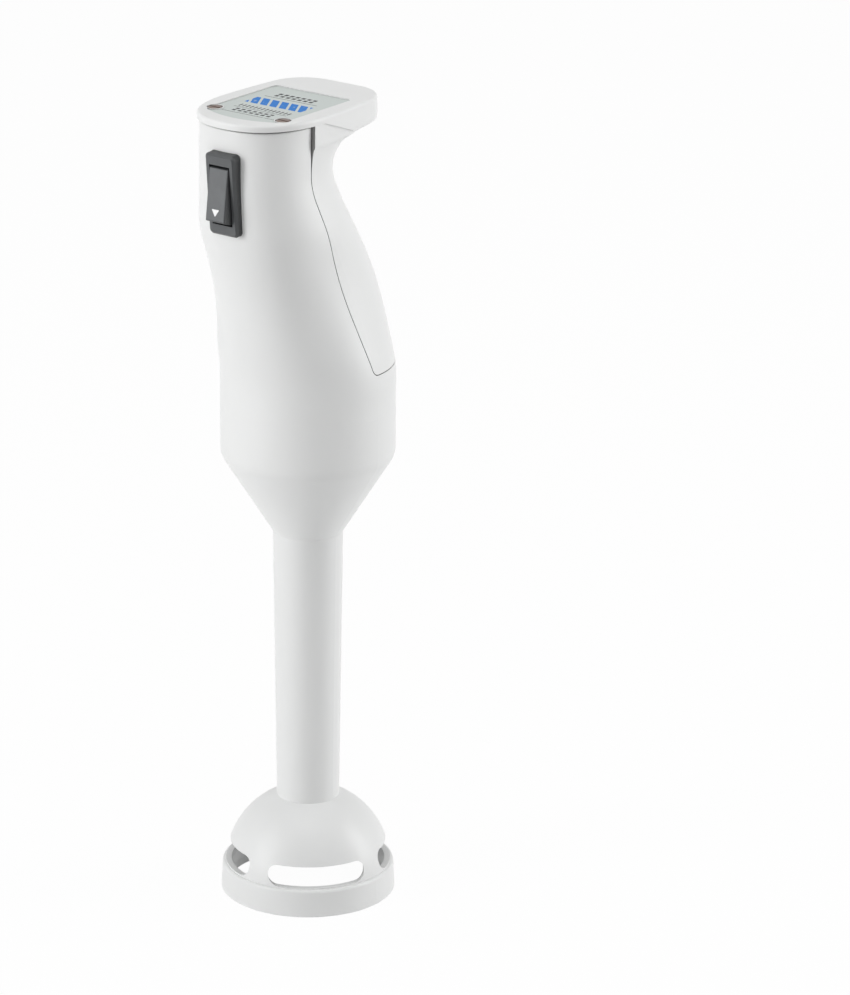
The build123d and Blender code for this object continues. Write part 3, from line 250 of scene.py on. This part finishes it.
# turned or ground metal: the stretch packs its lines along one axis, so that they run round a shaft
# or across a head
metalLook = dict(
    lines=dict(scale=420.0, detail=4.0), swing=0.22, bump=dict(strength=0.18, depth=0.03 * mm),
    stain=dict(scale=55.0, detail=5.0), stainSpan=(0.45, 0.8), stainDark=0.72, stainRough=0.08)


def groundMetal(name, colour, rough, stretch, metallic=1.0):
    made = Finish(name, Metallic=metallic)
    lines = made.noise(stretch=stretch, **metalLook["lines"])
    stain = made.rise(made.noise(**metalLook["stain"]), *metalLook["stainSpan"])
    made.feed("Base Color", made.tint(stain, colour, scaled(colour, metalLook["stainDark"])))
    made.feed("Roughness", wander(rough, lines, metalLook["swing"]) + stain * metalLook["stainRough"])
    made.feed("Normal", made.bump(lines, **metalLook["bump"]))
    return made.material


rubberLook = dict(
    fresh=rgba(0.020, 0.020, 0.021), bloomed=rgba(0.045, 0.045, 0.045),
    bloom=dict(scale=70.0, detail=4.0), bloomSpan=(0.4, 0.8), rough=0.72,
    grain=dict(scale=900.0, detail=4.0), swing=0.2, bump=dict(strength=0.3, depth=0.04 * mm))


def blackRubber():
    made = Finish("blackRubber", IOR=1.5)
    bloom = made.rise(made.noise(**rubberLook["bloom"]), *rubberLook["bloomSpan"])
    grain = made.noise(**rubberLook["grain"])
    made.feed("Base Color", made.tint(bloom, rubberLook["fresh"], rubberLook["bloomed"]))
    made.feed("Roughness", wander(rubberLook["rough"], grain, rubberLook["swing"]))
    made.feed("Normal", made.bump(grain, **rubberLook["bump"]))
    return made.material


# wound copper and stacked sheet: ridges stacked along the shaft, given by the length of one radian of
# their wave, with painted shade darkening their valleys; a wave texture of scale 1 turns 20 radians in a
# metre
ridgeLook = dict(radian=0.5 * mm, turned=20.0, warp=0.3, valleyShade=0.55, valleyRough=0.2,
                 bump=dict(strength=0.5, depth=0.1 * mm))


def ridgedMetal(name, colour, rough, metallic):
    made = Finish(name, Metallic=metallic)
    ridge = made.node("TexWave", {"bands_direction": "Z", "wave_profile": "SIN"}, {
        "Vector": made.place, "Scale": 1.0 / (ridgeLook["turned"] * ridgeLook["radian"]),
        "Distortion": ridgeLook["warp"]}, out="Fac")
    # painted shade: the valleys between the ridges are darker
    made.feed("Base Color", made.tint(ridge, scaled(colour, ridgeLook["valleyShade"]), colour))
    made.feed("Roughness", rough + (1.0 - ridge) * ridgeLook["valleyRough"])
    made.feed("Normal", made.bump(ridge, **ridgeLook["bump"]))
    return made.material


# label: grey-green sheet with a plain design of slanted blue bars, a ruler of ticks, rules and squares;
# lengths in mm, and each row has its place from the label's middle and half its height
labelLook = dict(
    sheet=rgba(0.60, 0.645, 0.626), blue=rgba(0.0, 0.185, 0.62), dark=rgba(0.040, 0.042, 0.045),
    middle=-19.6, slant=0.55,
    bars=dict(pitch=4.3, share=0.74, reach=12.8, rows=[(2.6, 3.9)]),
    ticks=dict(pitch=1.7, share=0.40, reach=11.9, rows=[(-5.9, 1.3)]),
    squares=dict(pitch=2.6, share=0.62, reach=9.1,
                 rows=[(-10.6, 0.7), (-12.8, 0.7), (11.9, 0.85), (14.4, 0.85)]),
    rules=dict(reach=11.9, rows=[(-8.4, 0.17), (-15.2, 0.17), (9.4, 0.17)]),
    pinholes=dict(scale=520.0, detail=5.0), pinholeSpan=(0.26, 0.36), rough=0.40,
    mottle=dict(scale=900.0, detail=3.0), pale=1.07, swing=0.2, bump=dict(strength=0.15, depth=0.03 * mm))


def labelSheet():
    made = Finish("labelSheet", IOR=1.5, Specular_IOR_Level=0.08)
    x = made.along("X") / mm
    y = made.along("Y") / mm - labelLook["middle"]

    def rows(look):
        return sum(made.within(y, *row) for row in look["rows"]) * made.within(x, 0.0, look["reach"])

    def marks(look, across):
        return made.repeat(across, look["pitch"], look["share"]) * rows(look)

    blue = marks(labelLook["bars"], x + y * labelLook["slant"])
    dark = marks(labelLook["ticks"], x) + marks(labelLook["squares"], x) + rows(labelLook["rules"])
    whole = made.rise(made.noise(**labelLook["pinholes"]), *labelLook["pinholeSpan"])
    mottle = made.noise(**labelLook["mottle"])
    sheet = made.tint(mottle, labelLook["sheet"], scaled(labelLook["sheet"], labelLook["pale"]))
    printed = made.tint(blue * whole, sheet, labelLook["blue"])
    made.feed("Base Color", made.tint(dark * whole, printed, labelLook["dark"]))
    made.feed("Roughness", wander(labelLook["rough"], mottle, labelLook["swing"]))
    made.feed("Normal", made.bump(mottle, **labelLook["bump"]))
    return made.material


finishes = {
    "white_plastic": whitePlastic(),
    "label_sheet": labelSheet(),
    "dark_plastic": switchPlastic("switchBezel", switchLook["bezel"]),
    "rocker_plastic": switchPlastic("switchRocker", switchLook["rocker"]),
    "bronzed_steel": groundMetal("brownedSteel", rgba(0.190, 0.128, 0.102), rough=0.36,
                                 stretch=(1.0, 6.0, 1.0), metallic=0.75),
    "black_rubber": blackRubber(),
    "bright_steel": groundMetal("groundSteel", rgba(0.66, 0.66, 0.65), rough=0.28, stretch=(1.0, 1.0, 9.0)),
    "bronze": groundMetal("sinteredBronze", rgba(0.60, 0.42, 0.20), rough=0.38, stretch=(1.0, 1.0, 4.0)),
    "copper": ridgedMetal("enamelledCopper", rgba(0.62, 0.26, 0.12), rough=0.3, metallic=0.9),
    "lamination": ridgedMetal("stackedSheet", rgba(0.24, 0.24, 0.25), rough=0.42, metallic=0.9),
    "cast_alloy": groundMetal("castAlloy", rgba(0.60, 0.61, 0.62), rough=0.45, stretch=(1.0, 1.0, 1.0)),
    "carbon": plainPlastic("pressedCarbon", rgba(0.03, 0.03, 0.032), rough=0.6),
    "inner_plastic": plainPlastic("innerPlastic", rgba(0.30, 0.30, 0.28), rough=0.5),
    "wire_insulation": plainPlastic("wireInsulation", rgba(0.22, 0.08, 0.05), rough=0.45),
}
for name, node in nodes.items():
    for slot in node.material_slots:
        slot.material = finishes[slotOf[name]]
print("finishes on", len(nodes), "nodes")


def addObject(name, data):
    made = bpy.data.objects.new(name, data)
    scene.collection.objects.link(made)
    return made


def addPiece(name, mesh, body):
    piece = addObject(name, mesh)
    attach(piece, body)
    return piece


def meshFrom(bm, name, material):
    mesh = bpy.data.meshes.new(name)
    bm.to_mesh(mesh)
    bm.free()
    mesh.materials.append(material)
    return mesh


# middle and outward direction of the largest flat face that a node turns towards one side
def flatFace(node, side, leastFacing=0.8, digits=3):
    flats = {}
    for facet in nodes[node].data.polygons:
        if facet.normal.dot(side) > leastFacing:
            key = tuple(round(part, digits) for part in facet.normal)
            flats.setdefault(key, []).append((facet.area, facet.center.copy(), facet.normal.copy()))
    facets = max(flats.values(), key=lambda group: sum(area for area, _, _ in group))
    whole = sum(area for area, _, _ in facets)
    return sum((area * spot for area, spot, _ in facets), Vector()) / whole, facets[0][2]


faceMiddle, faceOut = flatFace("switch_rocker", Vector((0.0, -1.0, 0.0)))
faceRight = Vector((1.0, 0.0, 0.0))
faceUp = faceOut.cross(faceRight)

# painted arrow on the rocker's lower half, a film half sunk in its face
arrowLook = dict(width=3.4 * mm, height=2.7 * mm, drop=5.2 * mm, film=0.1 * mm,
                 corner=0.18 * mm, cornerSteps=3)
paintLook = dict(low=rgba(0.86, 0.86, 0.86), high=rgba(0.92, 0.92, 0.92), rough=0.42,
                 grain=dict(scale=1500.0, detail=3.0), swing=0.2)


def whitePaint():
    made = Finish("whitePaint", IOR=1.5)
    grain = made.noise(**paintLook["grain"])
    made.feed("Base Color", made.tint(grain, paintLook["low"], paintLook["high"]))
    made.feed("Roughness", wander(paintLook["rough"], grain, paintLook["swing"]))
    return made.material


def rockerArrow():
    half = arrowLook["width"] / 2
    top = -arrowLook["drop"]
    corners = [(-half, top), (0.0, top - arrowLook["height"]), (half, top)]
    sunk = faceMiddle - faceOut * (arrowLook["film"] / 2)
    bm = bmesh.new()
    base = bm.faces.new([bm.verts.new(sunk + faceRight * x + faceUp * y) for x, y in corners])
    raised = bmesh.ops.extrude_face_region(bm, geom=[base])["geom"]
    risen = [part for part in raised if isinstance(part, bmesh.types.BMVert)]
    bmesh.ops.translate(bm, verts=risen, vec=faceOut * arrowLook["film"])
    upright = [edge for edge in bm.edges if sum(end in risen for end in edge.verts) == 1]
    bmesh.ops.bevel(bm, geom=upright, offset=arrowLook["corner"], segments=arrowLook["cornerSteps"],
                    affect="EDGES")
    bmesh.ops.recalc_face_normals(bm, faces=bm.faces)
    addPiece("rockerArrow", meshFrom(bm, "rockerArrow", whitePaint()), "rocker")


rockerArrow()
print("arrow on the rocker")

# coil springs: one spiral of wire, stood on each seat along the seat's own axis
springLook = dict(wire=0.17 * mm, sides=8, steps=24, pitch=0.62 * mm)


def springTree():
    tree = bpy.data.node_groups.new("coilSpring", "GeometryNodeTree")
    inputs = {"Seats": "Geometry", "Coil Radius": "Float", "Length": "Float", "Turns": "Float",
              "Wire Radius": "Float", "Steel": "Material"}
    for name, kind in inputs.items():
        tree.interface.new_socket(name=name, in_out="INPUT", socket_type="NodeSocket" + kind)
    tree.interface.new_socket(name="Springs", in_out="OUTPUT", socket_type="NodeSocketGeometry")
    given = addNode(tree, "NodeGroupInput").outputs
    spiral = addNode(tree, "GeometryNodeCurveSpiral", values={
        "Resolution": springLook["steps"], "Rotations": given["Turns"], "Height": given["Length"],
        "Start Radius": given["Coil Radius"], "End Radius": given["Coil Radius"]})
    section = addNode(tree, "GeometryNodeCurvePrimitiveCircle", values={
        "Resolution": springLook["sides"], "Radius": given["Wire Radius"]})
    coil = addNode(tree, "GeometryNodeCurveToMesh", values={
        "Curve": spiral.outputs[0], "Profile Curve": section.outputs[0], "Fill Caps": True})
    axis = addNode(tree, "GeometryNodeInputNamedAttribute", {"data_type": "FLOAT_VECTOR"}, {"Name": "axis"})
    turned = addNode(tree, "FunctionNodeAlignRotationToVector", {"axis": "Z"}, {"Vector": axis.outputs[0]})
    stood = addNode(tree, "GeometryNodeInstanceOnPoints", values={
        "Points": given["Seats"], "Instance": coil.outputs[0], "Rotation": turned.outputs[0]})
    real = addNode(tree, "GeometryNodeRealizeInstances", values={0: stood.outputs[0]})
    smooth = addNode(tree, "GeometryNodeSetShadeSmooth", values={0: real.outputs[0]})
    dressed = addNode(tree, "GeometryNodeSetMaterial", values={
        "Geometry": smooth.outputs[0], "Material": given["Steel"]})
    addNode(tree, "NodeGroupOutput", values={0: dressed.outputs[0]})
    return tree


coilSpring = springTree()


# seats are pairs of a spring's foot and the way it stands
def coilSprings(name, node, body, seats, radius, length):
    host = bpy.data.meshes.new(name + "Seats")
    host.from_pydata([foot for foot, _ in seats], [], [])
    axes = host.attributes.new("axis", "FLOAT_VECTOR", "POINT")
    for cell, (_, axis) in zip(axes.data, seats):
        cell.vector = axis
    maker = addObject(name + "Maker", host)
    modifier = maker.modifiers.new("coils", "NODES")
    modifier.node_group = coilSpring
    wire = springLook["wire"]
    wanted = {"Coil Radius": radius - wire, "Length": length - 2 * wire, "Wire Radius": wire,
              "Turns": round(length / springLook["pitch"]), "Steel": finishes[slotOf[node]]}
    for socket in coilSpring.interface.items_tree:
        if socket.name in wanted:
            modifier[socket.identifier] = wanted[socket.name]
    bpy.context.view_layer.update()
    ready = maker.evaluated_get(bpy.context.evaluated_depsgraph_get())
    mesh = bpy.data.meshes.new_from_object(ready)
    maker.modifiers.remove(modifier)
    bpy.data.objects.remove(maker)
    mesh.name = name
    piece = addPiece(name, mesh, body)
    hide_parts(node)


# the rocker's spring leans with the rocker's face, so its length comes from the box of a leaning rod
def rockerCoil():
    low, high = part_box("rocker_spring")
    radius = (high[0] - low[0]) / 2
    length = ((high[1] - low[1]) - 2 * radius * abs(faceOut.z)) / abs(faceOut.y)
    middle = (Vector(low) + Vector(high)) / 2
    foot = middle - faceOut * (length / 2 - springLook["wire"])
    coilSprings("rockerCoil", "rocker_spring", "rocker", [(foot, faceOut)], radius, length)


# one spring behind each brush
def brushCoils():
    low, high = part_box("brush_springs")
    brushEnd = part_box("carbon_brushes")[1][1]
    foot = brushEnd + springLook["wire"]
    height = (low[2] + high[2]) / 2
    seats = [(Vector((0.0, side * foot, height)), Vector((0.0, side, 0.0))) for side in (-1.0, 1.0)]
    coilSprings("brushCoils", "brush_springs", "handle", seats, (high[0] - low[0]) / 2, high[1] - brushEnd)


rockerCoil()
brushCoils()
print("springs wound")

# studio: the camera's place in metres, its angles in degrees, its lens and sensor in mm
cameraLook = dict(place=(1.0816, -1.3843, 0.7710), down=19.3, turn=38.0,
                  lens=181.0, sensor=36.0, shift=0.1174, far=50.0)


def studioCamera():
    eye = bpy.data.cameras.new("eye")
    eye.lens = cameraLook["lens"]
    eye.sensor_width = cameraLook["sensor"]
    eye.shift_x = cameraLook["shift"]
    eye.clip_end = cameraLook["far"]
    stand = addObject("eye", eye)
    stand.location = cameraLook["place"]
    stand.rotation_euler = (math.radians(90 - cameraLook["down"]), 0.0, math.radians(cameraLook["turn"]))
    scene.camera = stand


# soft boxes round a point up the wand, each with its bearing rightwards from the camera's and its height
# in degrees
lampAim = Vector((0.0, 0.0, 0.17))
lampLook = [
    dict(name="leftBox", bearing=-67.0, up=16.0, away=1.5, wide=0.5, tall=1.4, power=14.2),
    dict(name="rightBox", bearing=90.0, up=15.0, away=1.5, wide=0.5, tall=1.4, power=13.4),
    dict(name="topBox", bearing=0.0, up=82.0, away=1.6, wide=1.3, tall=1.3, power=9.0),
]


def softBox(look):
    light = bpy.data.lights.new(look["name"], "AREA")
    light.shape = "RECTANGLE"
    light.size = look["wide"]
    light.size_y = look["tall"]
    light.energy = look["power"]
    heading = math.radians(cameraLook["turn"] + look["bearing"])
    up = math.radians(look["up"])
    out = Vector((math.cos(up) * math.sin(heading), -math.cos(up) * math.cos(heading), math.sin(up)))
    lamp = addObject(look["name"], light)
    lamp.location = lampAim + out * look["away"]
    lamp.rotation_euler = out.to_track_quat("Z", "Y").to_euler()


# 1 for the rays that show the backdrop: straight to the camera, mirrored or through glass
def backdropRays(tree):
    rays = addNode(tree, "ShaderNodeLightPath").outputs
    shown = rays["Is Camera Ray"]
    for kind in ("Is Glossy Ray", "Is Transmission Ray"):
        either = addNode(tree, "ShaderNodeMath", {"operation": "MAXIMUM"}, {0: shown, 1: rays[kind]})
        shown = either.outputs[0]
    return shown


skyLook = dict(colour=rgba(1.0, 1.0, 1.0), light=0.24, shown=1.0)


def studioSky():
    world = bpy.data.worlds.new("studio")
    world.use_nodes = True
    tree = world.node_tree
    level = addNode(tree, "ShaderNodeMapRange", values={
        "Value": backdropRays(tree), "To Min": skyLook["light"], "To Max": skyLook["shown"]})
    backdrop = tree.nodes["Background"]
    backdrop.inputs["Color"].default_value = skyLook["colour"]
    tree.links.new(level.outputs[0], backdrop.inputs["Strength"])
    scene.world = world


floorLook = dict(colour=rgba(0.86, 0.86, 0.86), rough=0.9, glow=0.97, radius=6.0, sides=96)


def studioFloor():
    material = bpy.data.materials.new("paleFloor")
    material.use_nodes = True
    tree = material.node_tree
    matt = tree.nodes["Principled BSDF"]
    matt.inputs["Base Color"].default_value = floorLook["colour"]
    matt.inputs["Roughness"].default_value = floorLook["rough"]
    glow = addNode(tree, "ShaderNodeEmission")
    share = addNode(tree, "ShaderNodeMath", {"operation": "MULTIPLY"}, {
        0: backdropRays(tree), 1: floorLook["glow"]})
    blend = addNode(tree, "ShaderNodeMixShader", values={
        0: share.outputs[0], 1: matt.outputs[0], 2: glow.outputs[0]})
    tree.links.new(blend.outputs[0], tree.nodes["Material Output"].inputs["Surface"])
    bm = bmesh.new()
    bmesh.ops.create_circle(bm, cap_ends=True, segments=floorLook["sides"], radius=floorLook["radius"])
    floor = addObject("floor", meshFrom(bm, "floor", material))


studioCamera()
for look in lampLook:
    softBox(look)
studioSky()
studioFloor()
scene.view_settings.view_transform = "Standard"
print("studio set")
